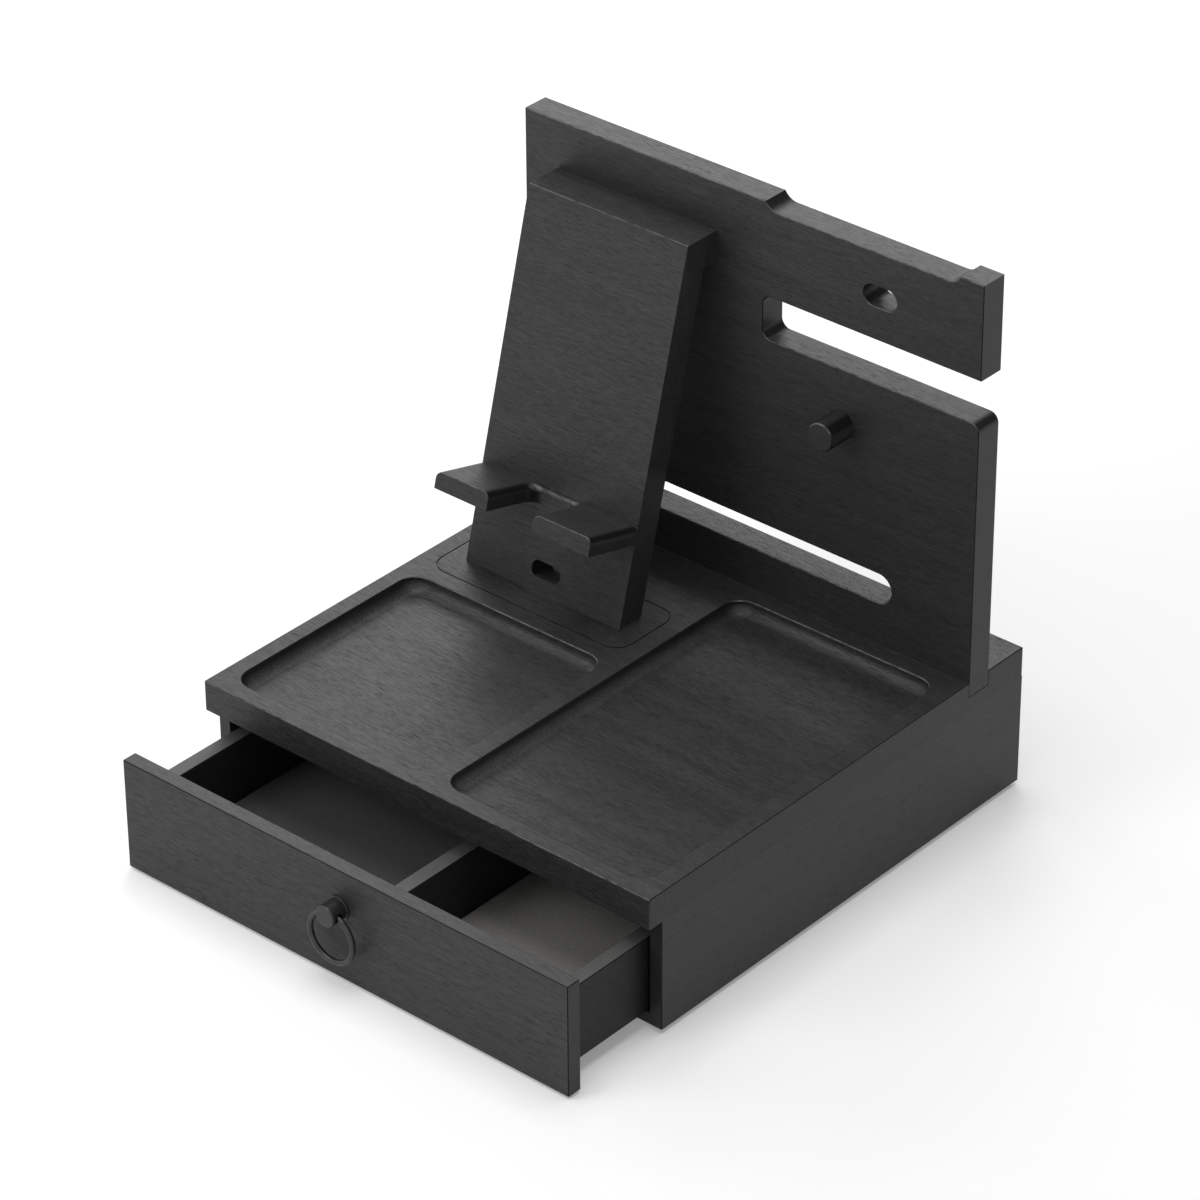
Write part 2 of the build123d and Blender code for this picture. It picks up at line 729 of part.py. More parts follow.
with BuildPart() as drawer_rear_dowels:
    with Locations(*rear_dowel_seats):
        with Locations((0, 0, rear_dowel_bite - dowel_length / 2)):
            add(rounded_dowel(dowel_length))
drawer_rear_dowels.part.label = "drawer_rear_dowels"
export_step(drawer_rear_dowels.part, "parts/drawer_rear_dowels.step")

# Pull: rosette, post with its stud, washer and nut
with BuildPart() as pull_rosette:
    with BuildSketch(Plane.XZ.offset(-drawer_front_y)):
        with Locations((0, pull_z)):
            Circle(rosette_diameter / 2)
            Circle(stud_diameter / 2 + hole_clearance, mode=Mode.SUBTRACT)
    extrude(amount=rosette_thickness)
    fillet(pull_rosette.edges().group_by(Axis.Y)[0].sort_by(SortBy.RADIUS)[-1], rosette_ease)
pull_rosette.part.label = "pull_rosette"
export_step(pull_rosette.part, "parts/pull_rosette.step")

stud_end_y = drawer_box_y + washer_thickness + nut_height + stud_tail
with BuildPart() as pull_post:
    with BuildSketch(Plane.XZ.offset(-rosette_front_y)):
        with Locations((0, pull_z)):
            Circle(post_radius)
    extrude(amount=post_length)
    fillet(pull_post.edges().sort_by(Axis.Y)[0], post_ease)
    with BuildSketch(Plane.XZ.offset(-stud_end_y)):
        with Locations((0, pull_z)):
            Circle(stud_diameter / 2)
    extrude(amount=stud_end_y - rosette_front_y)
    chamfer(pull_post.edges().sort_by(Axis.Y)[-1], edge_ease)
    with Locations(Plane(origin=(0, ring_y, swing_axis_z), z_dir=(1, 0, 0))):
        Hole(ring_hole_radius)
pull_post.part.label = "pull_post"
export_step(pull_post.part, "parts/pull_post.step")

with BuildPart() as pull_washer:
    with BuildSketch(Plane.XZ.offset(-drawer_box_y)):
        with Locations((0, pull_z)):
            Circle(washer_diameter / 2)
            Circle(stud_diameter / 2 + hole_clearance, mode=Mode.SUBTRACT)
    extrude(amount=-washer_thickness)
pull_washer.part.label = "pull_washer"
export_step(pull_washer.part, "parts/pull_washer.step")

with BuildPart() as pull_nut:
    with BuildSketch(Plane.XZ.offset(-drawer_box_y - washer_thickness)):
        with Locations((0, pull_z)):
            RegularPolygon(nut_width / 2, 6, major_radius=False)
            Circle(stud_diameter / 2 + hole_clearance, mode=Mode.SUBTRACT)
    extrude(amount=-nut_height)
pull_nut.part.label = "pull_nut"
export_step(pull_nut.part, "parts/pull_nut.step")

# Ring, hanging through the post's cross hole
ring_centre_z = pull_z - ring_radius
with BuildPart() as pull_ring:
    with BuildSketch(Plane.YZ):
        with Locations((ring_y, pull_z)):
            Circle(wire_radius)
    revolve(axis=Axis((0, ring_y, ring_centre_z), (0, 1, 0)))
pull_ring.part.label = "pull_ring"
export_step(pull_ring.part, "parts/pull_ring.step")
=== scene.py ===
import math
import random
from collections import namedtuple

import bmesh
import bpy
from mathutils import Matrix, Vector


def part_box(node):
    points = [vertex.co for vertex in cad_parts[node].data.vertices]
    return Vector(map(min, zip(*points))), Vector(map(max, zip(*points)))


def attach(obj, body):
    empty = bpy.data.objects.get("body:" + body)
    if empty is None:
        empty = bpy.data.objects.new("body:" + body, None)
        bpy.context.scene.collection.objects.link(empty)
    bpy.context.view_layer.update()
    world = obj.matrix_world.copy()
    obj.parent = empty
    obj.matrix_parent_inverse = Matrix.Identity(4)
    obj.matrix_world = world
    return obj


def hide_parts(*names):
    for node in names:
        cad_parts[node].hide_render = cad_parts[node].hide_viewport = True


# Black-stained valet box with a drawer, a phone stand and a watch arm, on a white floor.
# Metres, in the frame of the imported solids: +Z is up and the front faces -Y.

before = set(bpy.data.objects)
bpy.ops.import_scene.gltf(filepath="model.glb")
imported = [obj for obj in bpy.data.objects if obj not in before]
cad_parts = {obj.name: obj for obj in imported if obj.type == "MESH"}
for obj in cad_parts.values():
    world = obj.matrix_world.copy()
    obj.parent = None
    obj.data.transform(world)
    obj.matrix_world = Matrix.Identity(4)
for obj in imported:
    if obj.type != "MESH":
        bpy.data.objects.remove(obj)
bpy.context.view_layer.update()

MM = 0.001

# Camera: place in metres, turn in degrees, lens and sensor in millimetres
CAMERA_PLACE = (1.3287, -1.5319, 1.3789)
CAMERA_TURN = (58.013, 0.313, 40.940)
CAMERA_LENS = 154.88
CAMERA_SENSOR = 36.0
CAMERA_REACH = 60.0

# Lamps: place, width and height in metres, and power in watts
Lamp = namedtuple("Lamp", "place size power")
LAMP_AIM = (0.0, 0.0, 0.1)
LAMPS = {
    "overhead_softbox": Lamp((0.0, 0.0, 2.6), (1.6, 1.6), 32),
    "front_top_softbox": Lamp((-0.2, -1.2, 2.1), (1.4, 1.0), 5),
    "front_left_key": Lamp((-0.5, -1.0, 0.85), (0.7, 0.5), 4),
    "left_softbox": Lamp((-2.3, 0.0, 1.0), (1.4, 1.0), 10),
    "rear_left_softbox": Lamp((-1.3, 1.7, 1.4), (1.4, 1.0), 15),
    "front_right_fill": Lamp((1.6, -1.7, 0.9), (1.2, 0.9), 3),
}

# World and floor: plain light on the object, and white where they are seen
WHITE = (1, 1, 1, 1)
WORLD_LIGHT = 0.2
WORLD_SEEN = 1.0
FLOOR_HALF_SIZE = 14.0
FLOOR_CELLS = 28
FLOOR_CLOUD_SCALE = 2.0
FLOOR_LIFT_NEAR, FLOOR_LIFT_FAR = 0.21, 1.0
FLOOR_NEAR, FLOOR_FAR = 0.55, 2.4

# Wood marks: length along the grain and width across it, in millimetres
WAVER_MARK = (42, 15)
STREAK_MARK = (8.0, 0.64)
FLECK_MARK = (3.0, 0.4)
PORE_MARK = (6.0, 0.5)
BAND_MARK = (170, 8)
CHIP_MARK = (5, 2.2)
STREAK_SHARE = 0.62
FINE_SHARE = 0.74

# Wood stain: sRGB levels of its dark and light grain and of what lies over it, painted shade, highlight and
# sheen among them
GRAIN_DARK, GRAIN_LIGHT = 24, 55
END_GRAIN = 14
PORE_BLACK = (12, 12, 12)
EDGE_SHADE_BLACK = (14, 14, 14)
WEAR_AND_HIGHLIGHT_GREY = (104, 103, 101)
TOP_SHEEN_GREY = (92, 92, 91)
PORE_COVER = 0.7
EDGE_SHADE_COVER = 0.75

# Where the marks lie: the heights between which a routed hollow begins, and the parts of the surface normal
# between which an eased edge, the end grain, a top front edge and a top begin
ROUTED_HEIGHTS = (76.2 * MM, 75.4 * MM)
EDGE_FACING = (0.985, 0.86)
END_FACING = (0.7, 0.95)
FRONT_FACING = (0.12, 0.38)
TOP_FACING = (0.8, 0.98)

# Grain directions
ALONG_X, ALONG_Y = 0, 1
STAND_LEAN = math.radians(14.92)

# Wood of each board: the direction of its grain and the lean of its faces, the stain's tone and contrast,
# how strong the painted sheen on its upward faces and how dark its end grain are, how far its top front
# edges are paled by wear and a painted highlight, its
# index of refraction, and whether it has routed hollows
Board = namedtuple(
    "Board",
    "grain lean tone contrast tops ends rub ior routed",
    defaults=(ALONG_X, 0, 0.85, 0.8, 0.0, 0.0, 0.8, 1.38, False),
)
BOARDS = {
    "top_board": Board(tone=1.0, contrast=1.25, ends=0.55, routed=True),
    # Painted shade: both case sides are toned darker than the top board, to darken their side faces
    "left_side": Board(ALONG_Y, tone=0.9, contrast=0.4),
    "right_side": Board(ALONG_Y, tone=0.9, contrast=0.4),
    "case_bottom": Board(tone=0.9),
    "case_back": Board(tone=0.95),
    "backboard": Board(tone=0.98, contrast=0.9, ends=0.55),
    "peg": Board(ALONG_Y, tone=0.95, contrast=0.7),
    "stand_panel": Board(lean=STAND_LEAN, tone=1.0, contrast=1.1),
    "stand_spacer": Board(tone=0.95, contrast=1.0),
    "phone_ledge": Board(lean=STAND_LEAN, tone=0.95, contrast=0.9),
    "drawer_front": Board(tone=1.03, contrast=0.9, tops=0.15, ends=0.55, rub=0.0),
    "drawer_left_side": Board(ALONG_Y, tone=0.8, contrast=0.7, tops=0.7),
    # Painted shade: the drawer's right side is toned far darker than its left and less glossy, so its outer
    # face beside the case comes out dark
    "drawer_right_side": Board(ALONG_Y, tone=0.52, contrast=0.7, tops=0.85, ior=1.29),
    "drawer_back": Board(tops=0.6),
    "drawer_bottom": Board(),
    "drawer_divider": Board(ALONG_Y, tops=0.85),
}
BOARD_SHIFT = (0.37, 0.21, 0.13)

# Black plating of the pull, the dark screws and the nut, as sRGB levels
PULL_BLACK = 30
SCREW_BLACK = 36
NUT_BLACK = 34

# Felt naps: sRGB levels of the dark and light fibres and of the tufts, and the sheen's strength
Nap = namedtuple("Nap", "dark light tuft sheen")
BLACK_NAP = Nap((58, 58, 57), (82, 81, 80), (68, 68, 67), 0.12)
GREY_NAP = Nap((115, 113, 110), (151, 149, 145), (130, 128, 125), 0.25)
FELT_CELL = 3 * MM
FELT_TRIM = (0.05 * MM, 0.3 * MM)
FELT_DROP_INSIDE, FELT_DROP_BORDER = 0.12, 0.35
FELT_WAVES = (55, 43, 21, 34)

# Wood screws: diameter and length in millimetres. The neck and the thread's start are shares of the length
# under the head, the thread's half widths are shares of its pitch, and the rest are shares of the diameter
WIDE_SCREW = (4.0, 30.0)
LEDGE_SCREW = (3.0, 25.0)
BOTTOM_SCREW = (3.0, 20.0)
SCREW_SIDES = 48
SCREW_RIM = 0.04
SCREW_CORE = 0.35
SCREW_SHOULDER = 0.12
NECK_SHARE = 0.25
THREAD_START = 0.27
THREAD_PITCH = 0.42
THREAD_STEPS = 36
THREAD_TIP = 0.25
THREAD_SINK = 0.02
THREAD_FIRST_FLANK = 0.25
HALF_ROOT, HALF_CREST = 0.2, 0.02
RECESS_TOP = (0.55, 0.13)
RECESS_BOTTOM = (0.26, 0.10)
RECESS_DEPTH = 0.42
RECESS_TIP = 0.52

# Nut
NUT_BORE = 2.05 * MM
NUT_CHAMFER = 0.55 * MM
NUT_SIDES = 96
NUT_FACE_LIMIT, NUT_MIDDLE_LIMIT = 0.97, 1.06


def linear(*levels):
    """An sRGB colour of 0 to 255 as the linear colour that a node takes."""
    steps = [level / 255 for level in levels]
    colour = [s / 12.92 if s <= 0.04045 else ((s + 0.055) / 1.055) ** 2.4 for s in steps]
    return (*colour, 1.0)


class Nodes:
    """A material's node tree, with one short call for each kind of node."""

    def __init__(self, name):
        self.material = bpy.data.materials.new(name)
        self.material.use_nodes = True
        self.tree = self.material.node_tree
        self.tree.nodes.clear()
        self.output = self.add("ShaderNodeOutputMaterial")

    def add(self, kind, **settings):
        node = self.tree.nodes.new(kind)
        for name, value in settings.items():
            setattr(node, name, value)
        return node

    def link(self, source, target):
        self.tree.links.new(source, target)

    def feed(self, socket, value):
        if hasattr(value, "is_output"):
            self.link(value, socket)
        else:
            socket.default_value = value

    def place(self, stretch=(1, 1, 1), turn=(0, 0, 0), shift=(0, 0, 0)):
        coordinates = self.add("ShaderNodeTexCoord")
        turned = self.add("ShaderNodeMapping")
        turned.inputs["Rotation"].default_value = turn
        turned.inputs["Location"].default_value = shift
        self.link(coordinates.outputs["Object"], turned.inputs["Vector"])
        stretched = self.add("ShaderNodeVectorMath", operation="MULTIPLY")
        self.link(turned.outputs["Vector"], stretched.inputs[0])
        stretched.inputs[1].default_value = stretch
        return stretched.outputs["Vector"]

    def noise(self, vector, detail=3.0, roughness=0.5, distortion=0.0):
        node = self.add("ShaderNodeTexNoise")
        self.link(vector, node.inputs["Vector"])
        node.inputs["Scale"].default_value = 1.0
        node.inputs["Detail"].default_value = detail
        node.inputs["Roughness"].default_value = roughness
        node.inputs["Distortion"].default_value = distortion
        return node.outputs["Fac"]

    def grain(self, size, **settings):
        """Noise whose marks are size millimetres each way, or along X, Y and Z."""
        sizes = size if isinstance(size, tuple) else (size, size, size)
        return self.noise(self.place([1 / (length * MM) for length in sizes]), **settings)

    def math(self, operation, a, b=0.0, c=0.0):
        node = self.add("ShaderNodeMath", operation=operation)
        for socket, value in zip(node.inputs, (a, b, c)):
            self.feed(socket, value)
        return node.outputs[0]

    def fit(self, value, low, high, to_low=0.0, to_high=1.0):
        node = self.add("ShaderNodeMapRange")
        self.link(value, node.inputs["Value"])
        node.inputs["From Min"].default_value = low
        node.inputs["From Max"].default_value = high
        node.inputs["To Min"].default_value = to_low
        node.inputs["To Max"].default_value = to_high
        return node.outputs["Result"]

    def mix(self, amount, a, b):
        node = self.add("ShaderNodeMix", data_type="RGBA")
        self.feed(node.inputs["Factor"], amount)
        self.feed(node.inputs[6], a)
        self.feed(node.inputs[7], b)
        return node.outputs[2]

    def bump(self, height, strength, distance):
        node = self.add("ShaderNodeBump")
        node.inputs["Strength"].default_value = strength
        node.inputs["Distance"].default_value = distance
        self.link(height, node.inputs["Height"])
        return node.outputs["Normal"]

    def surface(self, colour, roughness, normal, **inputs):
        shader = self.add("ShaderNodeBsdfPrincipled")
        self.feed(shader.inputs["Base Color"], colour)
        self.feed(shader.inputs["Roughness"], roughness)
        self.link(normal, shader.inputs["Normal"])
        for name, value in inputs.items():
            self.feed(shader.inputs[name.replace("_", " ")], value)
        self.link(shader.outputs["BSDF"], self.output.inputs["Surface"])
        return self.material

    def facing(self, turn):
        """The surface normal's three parts, in axes laid along the piece's own flat faces."""
        geometry = self.add("ShaderNodeNewGeometry")
        turned = self.add("ShaderNodeVectorRotate", rotation_type="EULER_XYZ")
        self.link(geometry.outputs["Normal"], turned.inputs["Vector"])
        turned.inputs["Rotation"].default_value = turn
        parts = self.add("ShaderNodeSeparateXYZ")
        self.link(turned.outputs["Vector"], parts.inputs["Vector"])
        return parts.outputs["X"], parts.outputs["Y"], parts.outputs["Z"]

    def height(self):
        coordinates = self.add("ShaderNodeTexCoord")
        parts = self.add("ShaderNodeSeparateXYZ")
        self.link(coordinates.outputs["Object"], parts.inputs["Vector"])
        return parts.outputs["Z"]


def stained_wood(name, board, shift):
    """Open-grained wood under a black stain: short streaks, pores, slow bands and eased edges.

    The stain is darker on the end grain. The eased edges carry painted shade: near black, with their gloss
    cut.
    The top front edges are paler in breaks, as far as rub says, partly wear from hands and partly a painted
    highlight, and the upward faces carry a painted sheen, as far as tops says.
    """
    nodes = Nodes(name)
    turn = (board.lean, 0, 0)

    def marks(size, **settings):
        length, width = size
        stretch = [1 / (width * MM)] * 3
        stretch[board.grain] = 1 / (length * MM)
        return nodes.noise(nodes.place(stretch, turn, shift), **settings)

    def shade(level):
        return linear(*[board.tone * level] * 3)

    waver = marks(WAVER_MARK, detail=2.0)
    streaks = marks(STREAK_MARK, detail=3.0, roughness=0.55, distortion=0.6)
    flecks = marks(FLECK_MARK, detail=2.0, roughness=0.5, distortion=0.3)
    pores = marks(PORE_MARK, detail=2.0, distortion=0.3)
    bands = marks(BAND_MARK, detail=2.0)
    chips = marks(CHIP_MARK, detail=3.0)
    short_part = nodes.math("MULTIPLY", flecks, 1 - STREAK_SHARE)
    fibre = nodes.math("MULTIPLY_ADD", streaks, STREAK_SHARE, short_part)
    fine = nodes.fit(fibre, 0.38, 0.62)
    open_pores = nodes.math("MULTIPLY", nodes.fit(pores, 0.58, 0.68), nodes.fit(waver, 0.35, 0.65, 0.4, 1.0))

    # Where the surface is: in a routed hollow, on an eased edge, on the end grain or on a top front edge
    # paled by wear and a painted highlight
    routed = nodes.fit(nodes.height(), *ROUTED_HEIGHTS) if board.routed else 0.0
    across, front, up = nodes.facing(turn)
    flat = nodes.math("MAXIMUM", nodes.math("ABSOLUTE", across), nodes.math("ABSOLUTE", front))
    flat = nodes.math("MAXIMUM", flat, nodes.math("ABSOLUTE", up))
    edges = nodes.math("MULTIPLY", nodes.fit(flat, *EDGE_FACING), nodes.math("SUBTRACT", 1.0, routed))
    along = nodes.math("ABSOLUTE", (across, front, up)[board.grain])
    ends = nodes.fit(along, *END_FACING, 0.0, board.ends)
    # Top front edges, paled in breaks: partly wear from hands, partly a painted highlight
    front_up_facing = nodes.math("MULTIPLY", nodes.math("MULTIPLY", front, -1.0), up)
    wear_and_highlight = nodes.math("MULTIPLY", edges, nodes.fit(front_up_facing, *FRONT_FACING))
    wear_and_highlight = nodes.math("MULTIPLY", wear_and_highlight, nodes.fit(chips, 0.36, 0.56, 0.3, 1.0))
    wear_and_highlight = nodes.math("MULTIPLY", wear_and_highlight, board.rub)

    # Colour, from the grain up
    grain = nodes.math("MULTIPLY", fine, FINE_SHARE)
    grain = nodes.math("ADD", grain, nodes.fit(bands, 0.3, 0.7, 0.0, 1 - FINE_SHARE))
    strength = nodes.math("MULTIPLY_ADD", routed, 0.3 * board.contrast, board.contrast)
    grain = nodes.math("MULTIPLY_ADD", nodes.math("SUBTRACT", grain, 0.5), strength, 0.5)
    colour = nodes.mix(grain, shade(GRAIN_DARK), shade(GRAIN_LIGHT))
    pore_cover = nodes.math("MULTIPLY", open_pores, PORE_COVER * board.contrast)
    colour = nodes.mix(pore_cover, colour, linear(*PORE_BLACK))
    # Painted sheen: upward faces are mixed a little unevenly towards a pale grey, standing in for light
    # falling on them
    if board.tops:
        sheen_breakup = nodes.fit(waver, 0.3, 0.6, 0.7 * board.tops, board.tops)
        sheen_on_tops = nodes.math("MULTIPLY", nodes.fit(up, *TOP_FACING), sheen_breakup)
        colour = nodes.mix(sheen_on_tops, colour, linear(*TOP_SHEEN_GREY))
    colour = nodes.mix(ends, colour, shade(END_GRAIN))
    # Painted shade: eased edges are mixed towards near black, and below their gloss is cut as well
    colour = nodes.mix(nodes.math("MULTIPLY", edges, EDGE_SHADE_COVER), colour, linear(*EDGE_SHADE_BLACK))
    # Wear and painted highlight: the top front edges are mixed paler
    colour = nodes.mix(wear_and_highlight, colour, linear(*WEAR_AND_HIGHLIGHT_GREY))

    # Gloss and relief
    rough = nodes.math("ADD", nodes.fit(fine, 0.0, 1.0, 0.50, 0.42), nodes.math("MULTIPLY", open_pores, 0.2))
    rough = nodes.math("SUBTRACT", rough, nodes.math("MULTIPLY", wear_and_highlight, 0.14))
    shine = nodes.fit(nodes.math("SUBTRACT", edges, wear_and_highlight), 0.0, 1.0, 0.5, 0.12)
    relief = nodes.math("SUBTRACT", fibre, nodes.math("MULTIPLY", open_pores, 0.45))
    normal = nodes.bump(relief, 0.45 + 0.3 * board.contrast, 0.13 * MM)
    return nodes.surface(colour, rough, normal, IOR=board.ior, Specular_IOR_Level=shine)


def pale_wood(name):
    """Plain beech of the hidden dowels, with short ray flecks."""
    nodes = Nodes(name)
    grain = nodes.grain((0.9, 0.9, 9), detail=4.0)
    fleck = nodes.fit(nodes.grain(0.5, detail=1.0), 0.6, 0.68)
    colour = nodes.mix(nodes.fit(grain, 0.35, 0.65), linear(196, 158, 112), linear(222, 190, 148))
    colour = nodes.mix(nodes.math("MULTIPLY", fleck, 0.5), colour, linear(168, 122, 80))
    return nodes.surface(colour, nodes.fit(grain, 0.3, 0.7, 0.6, 0.75), nodes.bump(grain, 0.4, 0.1 * MM))


def black_metal(name, tone):
    """Satin black plating with a faint brushed breakup."""
    nodes = Nodes(name)
    mottle = nodes.grain(1.6, detail=4.0, roughness=0.6)
    speck = nodes.grain(0.22, detail=2.0)
    colour = nodes.mix(nodes.fit(mottle, 0.35, 0.65), linear(*[tone] * 3), linear(*[tone * 1.4] * 3))
    rough = nodes.fit(mottle, 0.3, 0.7, 0.30, 0.42)
    return nodes.surface(colour, rough, nodes.bump(speck, 0.25, 0.02 * MM), Metallic=0.35, IOR=1.6)


def zinc_steel(name):
    """Plated screw steel, a little dulled in patches."""
    nodes = Nodes(name)
    mottle = nodes.grain(1.1, detail=5.0, roughness=0.6)
    colour = nodes.mix(nodes.fit(mottle, 0.35, 0.65), linear(150, 150, 152), linear(196, 194, 188))
    rough = nodes.fit(mottle, 0.3, 0.7, 0.28, 0.46)
    return nodes.surface(colour, rough, nodes.bump(mottle, 0.3, 0.03 * MM), Metallic=1.0)


def rubber(name):
    """Matt black pad rubber with a fine moulded grain and a dusting where it stands."""
    nodes = Nodes(name)
    grain = nodes.grain(0.45, detail=3.0)
    dust = nodes.grain(4, detail=3.0)
    colour = nodes.mix(nodes.fit(dust, 0.4, 0.75), linear(26, 26, 27), linear(58, 57, 55))
    return nodes.surface(colour, nodes.fit(grain, 0.3, 0.7, 0.7, 0.85), nodes.bump(grain, 0.5, 0.08 * MM))


def felt(name, nap):
    """Short nap: crossing fibres, tufts and a soft sheen."""
    nodes = Nodes(name)
    tufts = nodes.grain(2.2, detail=4.0, roughness=0.65)
    lengthwise = nodes.grain((0.28, 1.6, 0.3), distortion=1.2)
    crosswise = nodes.grain((1.6, 0.28, 0.3), distortion=1.2)
    fibres = nodes.math("MAXIMUM", lengthwise, crosswise)
    colour = nodes.mix(nodes.fit(fibres, 0.42, 0.68), linear(*nap.dark), linear(*nap.light))
    colour = nodes.mix(nodes.fit(tufts, 0.3, 0.7, 0.0, 0.35), colour, linear(*nap.tuft))
    height = nodes.math("ADD", fibres, nodes.math("MULTIPLY", tufts, 0.8))
    rough = nodes.fit(tufts, 0.3, 0.7, 0.88, 0.97)
    normal = nodes.bump(height, 0.8, 0.25 * MM)
    return nodes.surface(colour, rough, normal, Sheen_Weight=nap.sheen, Sheen_Roughness=0.6)


def finish_node(name, material):
    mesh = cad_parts[name].data
    mesh.materials.clear()
    mesh.materials.append(material)


def finish_boards():
    for number, (name, board) in enumerate(BOARDS.items()):
        shift = [number * step for step in BOARD_SHIFT]
        finish_node(name, stained_wood(f"wood_{name}", board, shift))


def finish_small_nodes():
    wood = pale_wood("beech")
    for name in ("case_dowels", "drawer_front_dowels", "drawer_rear_dowels"):
        finish_node(name, wood)
    metal = black_metal("black_plating", PULL_BLACK)
    for name in ("pull_rosette", "pull_post", "pull_washer", "pull_ring"):
        finish_node(name, metal)
    finish_node("case_feet", rubber("pad_rubber"))


def add_to_scene(name, data):
    thing = bpy.data.objects.new(name, data)
    bpy.context.scene.collection.objects.link(thing)
    return thing


def new_piece(name, mesh, material, body, slot, *replaced):
    """Turns a bmesh into a named piece that stands for CAD nodes and rides on a body."""
    data = bpy.data.meshes.new(name)
    bmesh.ops.recalc_face_normals(mesh, faces=mesh.faces)
    mesh.to_mesh(data)
    mesh.free()
    data.materials.append(material)
    piece = add_to_scene(name, data)
    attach(piece, body)
    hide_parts(*replaced)
    return piece


def join_loops(mesh, first, second):
    """A band of faces between two closed loops of as many points."""
    for i in range(len(first)):
        j = (i + 1) % len(first)
        mesh.faces.new([first[i], first[j], second[j], second[i]])


def felt_sheet(name, node, material, seed):
    """A cut sheet of felt: its top waves a little and its cut edge wanders."""
    low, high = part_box(node)
    columns = round((high.x - low.x) / FELT_CELL)
    rows = round((high.y - low.y) / FELT_CELL)
    thickness = high.z - low.z
    draw = random.Random(seed)
    phases = [draw.uniform(0, 2 * math.pi) for _ in range(4)]

    def wave(x, y):
        along_x, along_y, slant_x, slant_y = FELT_WAVES
        slow = math.sin(x * along_x + phases[0]) * math.sin(y * along_y + phases[1])
        return slow * math.sin(x * slant_x + y * slant_y + phases[2])

    mesh = bmesh.new()
    top, under = [], []
    for i in range(columns + 1):
        for j in range(rows + 1):
            u, v = i / columns, j / rows
            x = low.x + u * (high.x - low.x)
            y = low.y + v * (high.y - low.y)
            on_border = i in (0, columns) or j in (0, rows)
            if on_border:
                x += (0.5 - u) * 2 * draw.uniform(*FELT_TRIM)
                y += (0.5 - v) * 2 * draw.uniform(*FELT_TRIM)
            drop = FELT_DROP_BORDER if on_border else FELT_DROP_INSIDE
            sag = drop * thickness * (0.5 + 0.5 * wave(x, y))
            top.append(mesh.verts.new((x, y, high.z - sag)))
            under.append(mesh.verts.new((x, y, low.z)))
    wide = rows + 1
    for i in range(columns):
        for j in range(rows):
            a = i * wide + j
            b, c, d = a + wide, a + wide + 1, a + 1
            mesh.faces.new([top[k] for k in (a, b, c, d)])
            mesh.faces.new([under[k] for k in (d, c, b, a)])
    border = list(range(rows))
    border += [i * wide + rows for i in range(columns)]
    border += [columns * wide + j for j in range(rows, 0, -1)]
    border += [i * wide for i in range(columns, 0, -1)]
    join_loops(mesh, [top[k] for k in border], [under[k] for k in border])
    piece = new_piece(name, mesh, material, "drawer", "felt", node)
    for face in piece.data.polygons:
        face.use_smooth = True


def cross_outline(reach, half_slot):
    """The twelve corners of a cross recess, anticlockwise."""
    arm = [(reach, -half_slot), (reach, half_slot), (half_slot, half_slot)]
    corners = []
    for quarter in range(4):
        turn = Matrix.Rotation(quarter * math.pi / 2, 2)
        corners += [turn @ Vector(corner) for corner in arm]
    return corners


